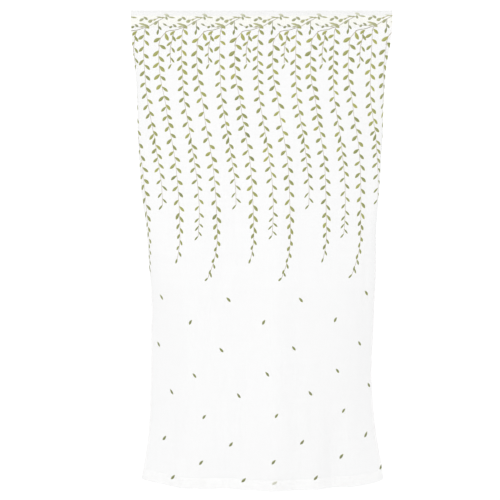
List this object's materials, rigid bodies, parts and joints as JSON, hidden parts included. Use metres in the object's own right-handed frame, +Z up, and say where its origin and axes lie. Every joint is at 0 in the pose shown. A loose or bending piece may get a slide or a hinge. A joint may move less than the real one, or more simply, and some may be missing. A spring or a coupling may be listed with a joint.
{
  "type": "sheer curtain panel",
  "caption": "Sheer voile curtain panel with a rod pocket along its top, printed with trailing leafy vines, hanging in a shallow arch with soft folds.",
  "frame": {"origin": "middle of the rod pocket's length, on the axis of the rod that goes through it", "axes": "+Z up, +X along the rod to the right as seen from the printed face, +Y from the printed face to the back"},
  "size_m": [1.07, 0.2341, 1.9601],
  "materials": {
    "pocket_voile": "matt sheer voile in two layers, printed",
    "printed_voile": "matt sheer voile, printed with olive green leaves"
  },
  "bodies": {
    "root": {"heading": "pocket_voile", "panel": "printed_voile"}
  },
  "joints": []
}
